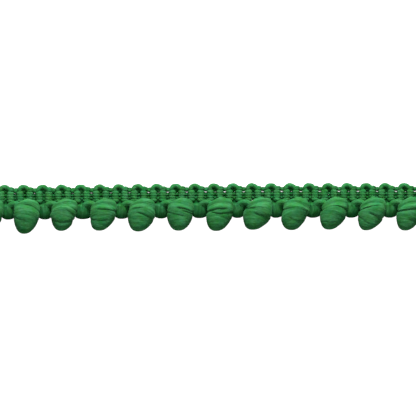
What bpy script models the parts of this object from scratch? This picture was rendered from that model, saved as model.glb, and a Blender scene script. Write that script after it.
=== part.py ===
"""Cut length of mini pompom trim, lying flat on its back.

A crochet-knitted heading braid has a picot loop along its upper edge over every second
weft leg. A fat soft roving is caught along its lower edge: it makes a short turn, then
winds up into a pompom, and so on along the braid.

Metres, +Z up out of the trim's face. X runs along the trim, Y across it towards the
picot edge, and Z = 0 is the flat back. The origin is the middle of the back.
"""

import math
from collections import namedtuple

import bpy
import bmesh
from mathutils import Vector

MM = 0.001

# Driving dimensions of the trim
POM_COUNT = 13
POM_PITCH = 9.66 * MM
LOOP_PITCH = POM_PITCH / 2
LEG_PITCH = LOOP_PITCH / 2
PIECE_GAP = 0.3 * MM

# Heights across the trim, from the middle of its width towards the picot edge
LOOP_TOP = 6.10 * MM
LOOP_FOOT = 5.17 * MM
EDGE_WALE = 4.70 * MM
UPPER_HOLES = 4.05 * MM
MIDDLE_WALE = 3.50 * MM
LOWER_HOLES = 2.95 * MM
LOW_WALE = 2.35 * MM
POM_ROOT = 2.45 * MM
HEADING_FOOT = 1.10 * MM
TURN_ARCH = 0.93 * MM
TURN_FOOT = -2.67 * MM
POM_TIP = -5.85 * MM

# The heading's yarn, and heights of its relief above the back
HEADING_HALF_LENGTH = 65.6 * MM
LOOP_REACH = 1.55 * MM
LOOP_YARN_RADIUS = 0.56 * MM
LEG_SHIFT = 0.585 * MM
LEG_RADIUS = 0.95 * MM
STITCH_HALF_LENGTH = 1.02 * MM
STITCH_HALF_WIDTH = 0.50 * MM
UNDER_POMS_TOP = 0.70 * MM
HOLE_TOP = 0.35 * MM
WEB_TOP = 0.60 * MM
LEG_TOP = 1.25 * MM
STITCH_TOP = 1.80 * MM
HEADING_EDGE_Z = 0.60 * MM
EDGE_INSET = 0.25 * MM

# A pompom's outline, as shares of its height from tip to root. Below the widest place
# it is a ball, and above it a squarer root that lies over the heading. It is wound in
# rings that rise in front, and two creases part its three main wraps.
BALL_LINE = 0.36
THICKEST = 0.42
WIDEST = 0.75
BALL_ROUNDNESS = 0.44
ROOT_SQUARENESS = 2.6
ROOT_HALF_WIDTH = 3.40 * MM
ROOT_HALF_THICKNESS = 1.75 * MM
ROOT_TILT = 0.13
BALL_HALF_THICKNESS = 2.90 * MM
POM_MIDDLE_Z = 2.84 * MM
WINDING_RISE = 0.45
CREASE_DEPTH = 0.065
CREASE_REACH = 0.06
POM_SEGMENTS = 18

# Each pompom, as the trim lies. In millimetres: how far its ball sits along from its
# picot loop, how much lower than POM_TIP it hangs, the width of its ball, and how far
# its tip and its root lie to either side of its ball. Then each crease's place as a
# share of the height, and its slope up to the right.
Pom = namedtuple("Pom", "along drop width tip_left root_right lower slope_low upper slope_up")
POMS = (
    Pom(0.90, -0.10, 6.10, 0.55, 0.55, 0.42, -0.15, 0.66, 0.15),
    Pom(0.62, 0.49, 6.04, 0.36, 0.38, 0.34, -0.10, 0.72, -0.20),
    Pom(0.13, -0.19, 5.82, 0.13, 0.72, 0.33, -0.22, 0.68, 0.10),
    Pom(0.86, -0.17, 6.04, 0.89, 0.28, 0.42, 0.05, 0.62, -0.10),
    Pom(0.81, 0.13, 6.38, 0.63, 0.44, 0.49, -0.15, 0.70, -0.05),
    Pom(0.97, 0.01, 6.00, 0.23, 0.40, 0.54, -0.15, 0.69, -0.24),
    Pom(1.30, 0.16, 6.18, 0.66, 0.30, 0.49, 0.00, 0.63, 0.10),
    Pom(1.04, -0.10, 6.55, 0.84, 0.85, 0.48, -0.25, 0.70, 0.22),
    Pom(0.97, 0.00, 6.22, 0.56, 0.72, 0.46, 0.10, 0.72, -0.25),
    Pom(0.97, -0.11, 6.00, 0.74, 0.70, 0.44, -0.18, 0.68, 0.22),
    Pom(0.86, 0.08, 6.04, 0.84, 0.82, 0.42, -0.25, 0.66, 0.14),
    Pom(0.85, 0.13, 5.90, 0.64, 0.74, 0.45, -0.22, 0.67, 0.20),
    Pom(0.95, 0.02, 6.10, 0.50, 0.60, 0.48, 0.08, 0.68, -0.12),
)

# A turn of roving between two pompoms: a flat-lying pad, then an arch into a pompom
PAD_SIDES = 10
PAD_HALF_THICKNESS = 0.92 * MM
PAD_MIDDLE_Z = 0.98 * MM
PAD_MOST_HALF_WIDTH = 1.62 * MM
PAD_END_LENGTH = 1.55 * MM
PAD_ROUNDNESS = 0.42
FLANK_GAP = 0.53 * MM
ARCH_RADIUS = 0.72 * MM
ARCH_RISE = 0.70 * MM
BEND_RIGHT = 0.50 * MM
BEND_INSIDE = 0.10 * MM

# The arch bends round a point right of the pad's middle and runs on to the pompom: how
# far it has turned in degrees, the share of its run past the bend, shares of ARCH_RISE,
# and half sizes as shares of ARCH_RADIUS
ArchPart = namedtuple("ArchPart", "turn past lift wide thick")
ARCH = (
    ArchPart(0, 0.0, 0.35, 1.12, 1.15),
    ArchPart(30, 0.0, 0.65, 1.06, 1.00),
    ArchPart(60, 0.0, 0.90, 1.00, 0.92),
    ArchPart(90, 0.0, 1.00, 1.00, 0.88),
    ArchPart(90, 0.6, 1.00, 0.96, 0.84),
    ArchPart(90, 1.0, 1.00, 0.70, 0.60),
)


def clear_scene():
    for obj in list(bpy.data.objects):
        bpy.data.objects.remove(obj)


def yarn_material(name, colour, roughness):
    material = bpy.data.materials.new(name)
    material.use_nodes = True
    shader = material.node_tree.nodes["Principled BSDF"]
    shader.inputs["Base Color"].default_value = (*colour, 1)
    shader.inputs["Roughness"].default_value = roughness
    shader.inputs["Metallic"].default_value = 0
    return material


def loft(rings):
    """One closed skin over rings of points, the first and last ring filled."""
    bm = bmesh.new()
    rows = [[bm.verts.new(point) for point in ring] for ring in rings]
    for row, following in zip(rows, rows[1:]):
        for i, corner in enumerate(row):
            j = (i + 1) % len(row)
            bm.faces.new((corner, row[j], following[j], following[i]))
    bm.faces.new(list(reversed(rows[0])))
    bm.faces.new(rows[-1])
    bmesh.ops.recalc_face_normals(bm, faces=bm.faces)
    return bm


def add_object(name, rings, material):
    mesh = bpy.data.meshes.new(name)
    bm = loft(rings)
    bm.to_mesh(mesh)
    bm.free()
    mesh.materials.append(material)
    mesh.shade_smooth()
    obj = bpy.data.objects.new(name, mesh)
    bpy.context.scene.collection.objects.link(obj)


def ease(share):
    """0 up to 0, 1 from 1 on, and a smooth rise between."""
    share = min(max(share, 0), 1)
    return share * share * (3 - 2 * share)


def mix(low, high, share):
    return low + (high - low) * share


def sway(x):
    """The slight S in which the trim lies: its left end a little lower."""
    return 0.27 * MM * math.tanh((x + 20 * MM) / (28 * MM))


# Pompoms

def pom_x(index):
    return (index - (POM_COUNT - 1) / 2) * POM_PITCH + POMS[index].along * MM


def pom_span(index):
    """Heights of a pompom's tip and root."""
    rise = sway(pom_x(index))
    return POM_TIP - POMS[index].drop * MM + rise, POM_ROOT + rise


def off_ball_line(share):
    """How far a share lies from the ball's widest line, 0, to the root's, 1."""
    return (share - BALL_LINE) / (WIDEST - BALL_LINE)


def winding_slope(index, share):
    """How the rings of the winding slope up to the right, at a share of the height."""
    pom = POMS[index]
    places = (0, pom.lower, pom.upper, 1)
    slopes = (0, pom.slope_low, pom.slope_up, ROOT_TILT)
    for i in range(3):
        if share <= places[i + 1]:
            return mix(slopes[i], slopes[i + 1], (share - places[i]) / (places[i + 1] - places[i]))
    return ROOT_TILT


def winding_rise(share):
    """How the rings rise in front: not at all at the tip and the root."""
    return WINDING_RISE * ease(share / BALL_LINE) * ease((1 - share) / (1 - WIDEST))


def pom_section(index, share):
    """Middle (x, z), half width and half thickness at a share of the way from tip to root."""
    pom = POMS[index]
    ball = (1 - (1 - min(share / WIDEST, 1)) ** 2) ** BALL_ROUNDNESS
    past = max((share - WIDEST) / (1 - WIDEST), 0)
    root = max(1 - past ** ROOT_SQUARENESS, 0) ** (1 / ROOT_SQUARENESS)
    at_ball_line = (1 - (1 - BALL_LINE / WIDEST) ** 2) ** BALL_ROUNDNESS
    lower_half = pom.width * MM / 2 / at_ball_line
    half_width = mix(lower_half, ROOT_HALF_WIDTH, ease(off_ball_line(share))) * ball * root
    thick = (1 - (1 - min(share / THICKEST, 1)) ** 2) ** BALL_ROUNDNESS
    thinning = ease((share - THICKEST) / (WIDEST - THICKEST))
    half_thickness = mix(BALL_HALF_THICKNESS, ROOT_HALF_THICKNESS, thinning) * thick * root
    if share < BALL_LINE:
        lean = pom.tip_left * (share / BALL_LINE - 1)
    else:
        lean = pom.root_right * math.sin(math.pi / 2 * min(off_ball_line(share), 1))
    return pom_x(index) + lean * MM, POM_MIDDLE_Z, half_width, half_thickness


def pom_ring(index, share):
    """One ring of the winding, drawn in where it lies in a crease."""
    tip, root = pom_span(index)
    x, z, half_width, half_thickness = pom_section(index, share)
    creases = (POMS[index].lower, POMS[index].upper)
    pinch = 1 - CREASE_DEPTH * any(abs(share - crease) < CREASE_REACH / 2 for crease in creases)
    ring = []
    for k in range(POM_SEGMENTS):
        angle = math.tau * k / POM_SEGMENTS
        across = pinch * half_width * math.cos(angle)
        up = pinch * half_thickness * math.sin(angle)
        y = mix(tip, root, share) + winding_slope(index, share) * across
        y += winding_rise(share) * up
        ring.append((x + across, y, max(z + up, 0)))
    return ring


def pom_side(index, y, z, side):
    """Where a pompom's flank lies at height y of the trim and z above the table."""
    tip, root = pom_span(index)
    share, across = (y - tip) / (root - tip), 0
    for _ in range(6):
        slant = winding_slope(index, share) * across + winding_rise(share) * (z - POM_MIDDLE_Z)
        share = min(max((y - slant - tip) / (root - tip), 0.01), 0.99)
        x, middle_z, half_width, half_thickness = pom_section(index, share)
        level = min(abs(z - middle_z) / half_thickness, 1)
        across = side * half_width * math.sqrt(1 - level * level)
    return x + across


def make_pompom(index, material):
    tip_shares = [0.0005, 0.015, 0.06, 0.14, 0.23]
    root_shares = [0.88, 0.95, 0.99, 0.9998]
    lower, upper = POMS[index].lower, POMS[index].upper
    shares = [lower - CREASE_REACH, lower, lower + CREASE_REACH, (lower + upper) / 2]
    shares += [upper - CREASE_REACH, upper, upper + CREASE_REACH]
    rings = [pom_ring(index, share) for share in sorted(tip_shares + shares + root_shares)]
    add_object(f"pompom_{index + 1:02d}", rings, material)


# Turns of roving between the pompoms

def room_at(index, y, z, gap):
    """Left and right limits, at one height of the flanks, of the room before a pompom."""
    left = pom_side(index - 1, y, z, 1) + gap if index > 0 else -math.inf
    right = pom_side(index, y, z, -1) - gap if index < POM_COUNT else math.inf
    return left, right


def pad_room(index, y):
    """Middle and half width of the pad that fits between two pompoms at height y."""
    left, right = -math.inf, math.inf
    for share in (-0.8, -0.4, 0, 0.4, 0.8):
        for near_y in (y - PIECE_GAP, y, y + PIECE_GAP):
            z = PAD_MIDDLE_Z + share * PAD_HALF_THICKNESS
            narrower = PAD_MOST_HALF_WIDTH * (1 - math.sqrt(1 - share * share))
            low, high = room_at(index, near_y, z, FLANK_GAP)
            left = max(left, low - narrower)
            right = min(right, high + narrower)
    left = max(left, right - 2 * PAD_MOST_HALF_WIDTH) if index == 0 else left
    right = min(right, left + 2 * PAD_MOST_HALF_WIDTH)
    return (left + right) / 2, (right - left) / 2


def arch_end(index, y, z):
    """Where the arch stops short of the flank of the pompom that it runs into."""
    steps = (-ARCH_RADIUS / 2, 0, ARCH_RADIUS / 2)
    return min(room_at(index, y + dy, z + dz, FLANK_GAP)[1] for dy in steps for dz in steps)


def tube_ring(centre, out, half_width, half_thickness):
    ring = []
    for k in range(PAD_SIDES):
        angle = math.tau * k / PAD_SIDES
        rise = Vector((0, 0, math.sin(angle) * half_thickness))
        ring.append(centre + out * (math.cos(angle) * half_width) + rise)
    return ring


def make_turn(index, material):
    """The roving's turn before pompom number index: a pad, then an arch to the right."""
    widest_y = TURN_FOOT + PAD_END_LENGTH
    middle, _ = pad_room(index, widest_y)
    rise = sway(middle)
    right = Vector((1, 0, 0))
    rings = []
    for share in (0.02, 0.14, 0.38, 0.75, 1.15, 1.6):
        y = TURN_FOOT + rise + share * PAD_END_LENGTH
        x, half_width = pad_room(index, y)
        closing = (1 - (1 - min(share, 1)) ** 2) ** PAD_ROUNDNESS
        size = half_width * closing, PAD_HALF_THICKNESS * closing
        rings.append(tube_ring(Vector((mix(middle, x, 0.5), y, PAD_MIDDLE_Z)), right, *size))
    arch_y = TURN_ARCH + rise
    arch_z = PAD_MIDDLE_Z + ARCH_RISE
    bend = Vector((middle + BEND_RIGHT, arch_y - ARCH_RADIUS - BEND_INSIDE, PAD_MIDDLE_Z))
    end = arch_end(index, arch_y, arch_z) if index < POM_COUNT else middle + 1.5 * MM
    for part in ARCH:
        turn = math.radians(part.turn)
        inwards = Vector((math.cos(turn), -math.sin(turn), 0))
        half_width = part.wide * ARCH_RADIUS
        centre = bend - inwards * (BEND_INSIDE + half_width)
        centre.x += part.past * (end - bend.x)
        centre.z += part.lift * ARCH_RISE
        rings.append(tube_ring(centre, inwards, half_width, part.thick * ARCH_RADIUS))
    add_object(f"roving_turn_{index + 1:02d}", rings, material)


# Heading braid

def picot_edge(x):
    """Upper outline: a round picot loop over every pompom and every turn."""
    off = x - round(x / LOOP_PITCH) * LOOP_PITCH
    bulge = math.sqrt(max(1 - (off / LOOP_REACH) ** 2, 0))
    return LOOP_FOOT + (LOOP_TOP - LOOP_FOOT) * bulge + sway(x)


def under_a_pompom(x, y):
    for index in range(POM_COUNT):
        room = abs(x - pom_section(index, WIDEST)[0]) - ROOT_HALF_WIDTH
        if room < PIECE_GAP:
            top = POM_ROOT + sway(x) + ROOT_TILT * (x - pom_section(index, 1)[0])
            return y < top + PIECE_GAP
    return False


def relief(x, y):
    """Height of the heading's face: weft legs and picot loops under rows of stitches."""
    if under_a_pompom(x, y):
        return UNDER_POMS_TOP
    y -= sway(x)
    if y < LOW_WALE - STITCH_HALF_WIDTH - PIECE_GAP / 2:
        return UNDER_POMS_TOP
    to_loop = x - round(x / LOOP_PITCH) * LOOP_PITCH
    to_leg = x - LEG_SHIFT
    to_leg -= (math.floor(to_leg / LEG_PITCH) + 0.5) * LEG_PITCH
    bend = LOOP_FOOT - LOOP_YARN_RADIUS
    if y > bend:
        off_yarn = abs(math.hypot(to_loop, y - bend) - LEG_PITCH / 2) / (1.15 * LOOP_YARN_RADIUS)
    else:
        off_yarn = abs(to_leg) / LEG_RADIUS
    at_holes = min(abs(y - UPPER_HOLES), abs(y - LOWER_HOLES)) < PIECE_GAP / 2
    web = HOLE_TOP if at_holes else WEB_TOP
    height = mix(web, LEG_TOP, math.sqrt(max(1 - off_yarn * off_yarn, 0)))
    for wale in (EDGE_WALE, MIDDLE_WALE, LOW_WALE):
        inside = 1 - (to_leg / STITCH_HALF_LENGTH) ** 2 - ((y - wale) / STITCH_HALF_WIDTH) ** 2
        if inside > 0:
            height = max(height, mix(WEB_TOP, STITCH_TOP, math.sqrt(inside)))
    return height


def heading_stations():
    """Places along the trim where the heading is cut into rings: gaps, feet, legs and loops."""
    left_gap, right_gap = LEG_SHIFT - LEG_PITCH, LEG_SHIFT
    left_leg, right_leg = LEG_SHIFT - LEG_PITCH / 2, LEG_SHIFT + LEG_PITCH / 2
    beside = 0.50 * MM
    offsets = (
        left_gap,
        -0.95 * LOOP_REACH,
        left_leg - beside,
        left_leg,
        0,
        right_gap,
        right_leg - 1.4 * beside,
        0.95 * LOOP_REACH,
        right_leg + 0.3 * beside,
        right_leg + 1.4 * beside,
    )
    found = [-HEADING_HALF_LENGTH]
    for loop in range(-POM_COUNT - 1, POM_COUNT + 2):
        for off in offsets:
            x = loop * LOOP_PITCH + off
            if abs(x) < HEADING_HALF_LENGTH - beside / 2:
                found.append(x)
    return found + [HEADING_HALF_LENGTH]


def make_heading(material):
    """Rings across the trim, each from the foot over the flat back and round the face."""
    rows = (
        LOOP_FOOT - 0.1 * MM,
        EDGE_WALE,
        UPPER_HOLES,
        MIDDLE_WALE,
        LOWER_HOLES,
        LOW_WALE,
        LOW_WALE - STITCH_HALF_WIDTH,
    )
    rings = []
    for x in heading_stations():
        foot, top = HEADING_FOOT + sway(x), picot_edge(x)
        crown = top - 0.5 * LOOP_YARN_RADIUS
        ring = [
            (x, foot + EDGE_INSET, 0),
            (x, top - EDGE_INSET, 0),
            (x, top, HEADING_EDGE_Z),
            (x, crown, relief(x, crown)),
        ]
        for i, row in enumerate(rows):
            y = row + sway(x)
            if i == 0:
                y = min(y, crown - 0.1 * MM)
            ring.append((x, y, relief(x, y)))
        ring.append((x, foot, HEADING_EDGE_Z * 0.6))
        rings.append(ring)
    add_object("heading", rings, material)


def main():
    clear_scene()
    pompom_yarn = yarn_material("pompom_yarn", (0.036, 0.208, 0.071), 0.85)
    turn_yarn = yarn_material("turn_yarn", (0.032, 0.190, 0.064), 0.85)
    heading_yarn = yarn_material("heading_yarn", (0.033, 0.200, 0.068), 0.80)
    make_heading(heading_yarn)
    for index in range(POM_COUNT):
        make_pompom(index, pompom_yarn)
    for index in range(POM_COUNT + 1):
        make_turn(index, turn_yarn)


main()
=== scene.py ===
"""Looks of the cut length of mini pompom trim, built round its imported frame.

Metres, in the frame of the part: X runs along the trim, Y across it towards the picot
loops, and Z up out of its face.
"""

import math
from collections import namedtuple

import bpy
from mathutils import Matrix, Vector, noise


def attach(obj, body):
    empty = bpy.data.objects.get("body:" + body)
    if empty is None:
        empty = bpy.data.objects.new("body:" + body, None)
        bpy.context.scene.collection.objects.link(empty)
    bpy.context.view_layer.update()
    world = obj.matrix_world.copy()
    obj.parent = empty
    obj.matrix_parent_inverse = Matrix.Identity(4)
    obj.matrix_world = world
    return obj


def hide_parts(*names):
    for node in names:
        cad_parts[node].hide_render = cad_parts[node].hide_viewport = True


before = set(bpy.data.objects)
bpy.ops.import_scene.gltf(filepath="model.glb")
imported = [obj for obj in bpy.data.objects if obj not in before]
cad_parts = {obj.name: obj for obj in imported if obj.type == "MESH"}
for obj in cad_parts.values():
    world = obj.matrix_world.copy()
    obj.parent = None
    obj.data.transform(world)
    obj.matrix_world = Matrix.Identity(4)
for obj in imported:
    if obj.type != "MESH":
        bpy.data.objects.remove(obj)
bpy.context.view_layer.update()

MM = 0.001


# Studio
# The trim lies flat on a pale table and is seen from straight above, under a soft lamp
# that stands beyond its picot edge.

VIEW_MIDDLE_X = -1.448 * MM
VIEW_WIDTH = 105.66 * MM
CAMERA_HEIGHT = 1.2
SENSOR_WIDTH = 36.0
NEAREST_SEEN = 0.01
FARTHEST_SEEN = 20.0
LAMP_PLACE = Vector((0.03, 0.88, 0.52))
LAMP_SIZE = 0.30
LAMP_POWER = 24.0
FILL_PLACE = Vector((-0.05, -0.50, 0.85))
FILL_SIZE = 0.60
FILL_POWER = 3.4
ROOM_LIGHT = 0.08
WHITE = (1.0, 1.0, 1.0, 1)
TABLE_GREY = (0.42, 0.42, 0.42, 1)
TABLE_ROUGHNESS = 0.9
TABLE_HALF_SIZE = 0.9
TABLE_BELOW = 0.02 * MM


def add_lamp(name, place, size, power):
    lamp = bpy.data.lights.new(name, "AREA")
    lamp.shape = "DISK"
    lamp.size = size
    lamp.energy = power
    holder = bpy.data.objects.new(name, lamp)
    holder.location = place
    holder.rotation_euler = (-place).to_track_quat("-Z", "Y").to_euler()
    bpy.context.scene.collection.objects.link(holder)


lens = bpy.data.cameras.new("above")
lens.type = "PERSP"
lens.sensor_width = SENSOR_WIDTH
lens.lens = SENSOR_WIDTH * CAMERA_HEIGHT / VIEW_WIDTH
lens.clip_start = NEAREST_SEEN
lens.clip_end = FARTHEST_SEEN
camera = bpy.data.objects.new("above", lens)
camera.location = (VIEW_MIDDLE_X, 0, CAMERA_HEIGHT)
bpy.context.scene.collection.objects.link(camera)
bpy.context.scene.camera = camera
bpy.context.scene.view_settings.view_transform = "Standard"

add_lamp("soft_lamp", LAMP_PLACE, LAMP_SIZE, LAMP_POWER)
add_lamp("fill_lamp", FILL_PLACE, FILL_SIZE, FILL_POWER)

room = bpy.data.worlds.new("pale_room")
room.use_nodes = True
background = room.node_tree.nodes["Background"]
background.inputs["Color"].default_value = WHITE
background.inputs["Strength"].default_value = ROOM_LIGHT
bpy.context.scene.world = room

table_paint = bpy.data.materials.new("pale_table")
table_paint.use_nodes = True
table_shader = table_paint.node_tree.nodes["Principled BSDF"]
table_shader.inputs["Base Color"].default_value = TABLE_GREY
table_shader.inputs["Roughness"].default_value = TABLE_ROUGHNESS
table_shader.inputs["Emission Color"].default_value = WHITE
seen = table_paint.node_tree.nodes.new("ShaderNodeLightPath").outputs["Is Camera Ray"]
table_paint.node_tree.links.new(seen, table_shader.inputs["Emission Strength"])

table_mesh = bpy.data.meshes.new("table_top")
corners = [(across * TABLE_HALF_SIZE, along * TABLE_HALF_SIZE, -TABLE_BELOW)
           for across, along in ((-1, -1), (1, -1), (1, 1), (-1, 1))]
table_mesh.from_pydata(corners, [], [(0, 1, 2, 3)])
table_mesh.materials.append(table_paint)
table_top = bpy.data.objects.new("table_top", table_mesh)
bpy.context.scene.collection.objects.link(table_top)


# Weft yarn of the heading
# Soft acrylic yarn that runs to and fro across the heading as one continuous length. It
# turns over at the upper edge in a round picot loop that leans on the left leg's stitches
# and tucks under those of the right leg, and it turns back round the roving at the foot.

LOOP_PITCH = 4.83 * MM
LOOPS = range(-13, 14)
WEFT_RADIUS = 0.56 * MM
SWAY_HEIGHT = 0.27 * MM
SWAY_MIDDLE_X = -20 * MM
SWAY_LENGTH = 28 * MM
WEFT_GREENS = ((0.005, 0.070, 0.014), (0.019, 0.153, 0.040), (0.051, 0.253, 0.087))

# One repeat in millimetres: along from the picot loop's middle, height across the trim,
# lift above the table, and thickness as a share of the yarn's
PathPoint = namedtuple("PathPoint", "along height lift thick")
WEFT_REPEAT = (
    PathPoint(-0.84, 1.90, 0.56, 0.95),
    PathPoint(-0.84, 2.70, 0.66, 1.05),
    PathPoint(-0.84, 3.60, 0.70, 1.10),
    PathPoint(-0.88, 4.20, 0.70, 1.12),
    PathPoint(-0.98, 4.62, 0.94, 1.06),
    PathPoint(-0.93, 5.04, 1.03, 1.04),
    PathPoint(-0.56, 5.42, 0.98, 1.02),
    PathPoint(0.00, 5.56, 0.94, 1.00),
    PathPoint(0.58, 5.44, 0.94, 1.00),
    PathPoint(1.02, 5.12, 0.92, 1.02),
    PathPoint(1.34, 4.80, 0.86, 1.06),
    PathPoint(1.54, 4.42, 0.68, 1.12),
    PathPoint(1.57, 4.00, 0.66, 1.13),
    PathPoint(1.57, 3.40, 0.70, 1.08),
    PathPoint(1.57, 2.60, 0.66, 1.05),
    PathPoint(1.57, 1.90, 0.56, 0.98),
    PathPoint(1.93, 1.60, 0.54, 1.02),
    PathPoint(2.78, 1.46, 0.54, 1.04),
    PathPoint(3.63, 1.60, 0.54, 1.02),
)


def sway(x):
    """The slight S in which the trim lies: its left end a little lower."""
    return SWAY_HEIGHT * math.tanh((x - SWAY_MIDDLE_X) / SWAY_LENGTH)


def add_node(tree, kind, values=(), **settings):
    """A node with its settings, and its inputs given as values or as sockets to link."""
    node = tree.nodes.new(kind)
    for name, setting in settings.items():
        setattr(node, name, setting)
    for socket, value in dict(values).items():
        if isinstance(value, bpy.types.NodeSocket):
            tree.links.new(value, node.inputs[socket])
        else:
            node.inputs[socket].default_value = value
    return node


def calculate(tree, operation, *values):
    """The output of a sum, product or other calculation on numbers."""
    return add_node(tree, "ShaderNodeMath", enumerate(values), operation=operation).outputs[0]


def start_tree(name, kind, inputs, outputs):
    """A node tree with named inputs and outputs, its input node and its output node."""
    tree = bpy.data.node_groups.new(name, kind)
    for direction, sockets in (("INPUT", inputs), ("OUTPUT", outputs)):
        for socket_name, socket_type in sockets:
            tree.interface.new_socket(socket_name, in_out=direction, socket_type=socket_type)
    return tree, tree.nodes.new("NodeGroupInput"), tree.nodes.new("NodeGroupOutput")


# Scales of the patterns, how strongly the dye drifts, and how much richer the green gets in the
# painted shade towards the table
LOCK_SCALE = 0.45
FIBRE_SCALE = 1.7
CLOUD_SCALE = 560.0
LOCK_SHARE = 0.45
DEEPEST_TONE = 0.30
PALEST_TONE = 0.70
DRIFT_OF_VALUE = 9.0
DRIFT_OF_HUE = 2.0
MIDDLE_HUE = 0.496
BLOOM = 8.0
SHADE_RICHNESS_AT_TABLE = 1.16
SHADE_RICHNESS_LOST_ABOVE = 0.18

# Sockets of a mix of two colours
MIX_SHARE, MIX_FIRST, MIX_SECOND, MIXED = 0, 6, 7, 2


def make_shading_group():
    """Colour and relief of fibres that follow the yarn, with a cloudy dye over them, and a
    painted shade that darkens the colour and makes it richer towards the table.
    """
    inputs = (
        ("Fibre", "NodeSocketVector"),
        ("Place", "NodeSocketVector"),
        ("Deep", "NodeSocketColor"),
        ("Middle", "NodeSocketColor"),
        ("Pale", "NodeSocketColor"),
        ("Across each mm", "NodeSocketFloat"),
        ("Along each mm", "NodeSocketFloat"),
        ("Cloudiness", "NodeSocketFloat"),
        ("Shade at the table", "NodeSocketFloat"),
        ("Shaded height", "NodeSocketFloat"),
    )
    outputs = (("Colour", "NodeSocketColor"), ("Relief", "NodeSocketFloat"))
    tree, given, result = start_tree("fibres, dye and painted shade", "ShaderNodeTree", inputs, outputs)
    scale = add_node(tree, "ShaderNodeCombineXYZ", {
        "X": given.outputs["Across each mm"],
        "Y": given.outputs["Across each mm"],
        "Z": given.outputs["Along each mm"],
    })
    stretched = add_node(tree, "ShaderNodeVectorMath", {
        0: given.outputs["Fibre"],
        1: scale.outputs[0],
    }, operation="MULTIPLY")
    locks = add_node(tree, "ShaderNodeTexNoise", {
        "Vector": stretched.outputs[0], "Scale": LOCK_SCALE, "Detail": 2.0, "Roughness": 0.6,
    })
    fibres = add_node(tree, "ShaderNodeTexNoise", {
        "Vector": stretched.outputs[0], "Scale": FIBRE_SCALE, "Detail": 3.0, "Roughness": 0.7,
    })
    clouds = add_node(tree, "ShaderNodeTexNoise", {
        "Vector": given.outputs["Place"],
        "Scale": CLOUD_SCALE,
        "Detail": 4.0,
        "Roughness": 0.75,
    })
    both = calculate(tree, "ADD",
                     calculate(tree, "MULTIPLY", locks.outputs["Fac"], LOCK_SHARE),
                     calculate(tree, "MULTIPLY", fibres.outputs["Fac"], 1 - LOCK_SHARE))
    tone = add_node(tree, "ShaderNodeMapRange", {
        "Value": both, "From Min": DEEPEST_TONE, "From Max": PALEST_TONE,
    })
    lower = add_node(tree, "ShaderNodeMapRange", {
        "Value": tone.outputs[0], "From Min": 0.0, "From Max": 0.5,
    })
    upper = add_node(tree, "ShaderNodeMapRange", {
        "Value": tone.outputs[0], "From Min": 0.5, "From Max": 1.0,
    })
    deep = add_node(tree, "ShaderNodeMix", {
        MIX_SHARE: lower.outputs[0],
        MIX_FIRST: given.outputs["Deep"],
        MIX_SECOND: given.outputs["Middle"],
    }, data_type="RGBA")
    pale = add_node(tree, "ShaderNodeMix", {
        MIX_SHARE: upper.outputs[0],
        MIX_FIRST: deep.outputs[MIXED],
        MIX_SECOND: given.outputs["Pale"],
    }, data_type="RGBA")
    cloud = add_node(tree, "ShaderNodeSeparateColor", {0: clouds.outputs["Color"]})
    drift, bloom = (calculate(tree, "MULTIPLY",
                              calculate(tree, "SUBTRACT", cloud.outputs[channel], 0.5),
                              given.outputs["Cloudiness"])
                    for channel in ("Red", "Green"))
    place = add_node(tree, "ShaderNodeSeparateXYZ", {0: given.outputs["Place"]})
    # Painted shade: the colour darkens from the shaded height down to the table, where less
    # light reaches
    low = add_node(tree, "ShaderNodeMapRange", {
        "Value": place.outputs["Z"],
        "From Min": 0.0,
        "From Max": given.outputs["Shaded height"],
        "To Min": given.outputs["Shade at the table"],
        "To Max": 1.0,
    }, interpolation_type="SMOOTHSTEP")
    value = calculate(tree, "MULTIPLY_ADD", drift, DRIFT_OF_VALUE, 1.0)
    # The painted shade also makes the green richer where it is darker, near the table
    shade_richness = calculate(tree, "MULTIPLY_ADD", low.outputs[0], -SHADE_RICHNESS_LOST_ABOVE,
                         SHADE_RICHNESS_AT_TABLE)
    dyed_and_shaded = add_node(tree, "ShaderNodeHueSaturation", {
        "Hue": calculate(tree, "MULTIPLY_ADD", drift, DRIFT_OF_HUE, MIDDLE_HUE),
        "Saturation": calculate(tree, "MULTIPLY_ADD", bloom, BLOOM, shade_richness),
        "Value": calculate(tree, "MULTIPLY", value, low.outputs[0]),
        "Color": pale.outputs[MIXED],
    })
    tree.links.new(dyed_and_shaded.outputs[0], result.inputs["Colour"])
    tree.links.new(both, result.inputs["Relief"])
    return tree


FIBRES_DYE_AND_PAINTED_SHADE = make_shading_group()
YARN_ROUGHNESS = 0.88
YARN_SPECULAR = 0.06
SHEEN = 0.11
SHEEN_ROUGHNESS = 0.45
SHEEN_TINT = (0.25, 0.80, 0.34, 1)
RELIEF_DISTANCE = 0.10 * MM
CLOUDINESS = 0.05


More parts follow.
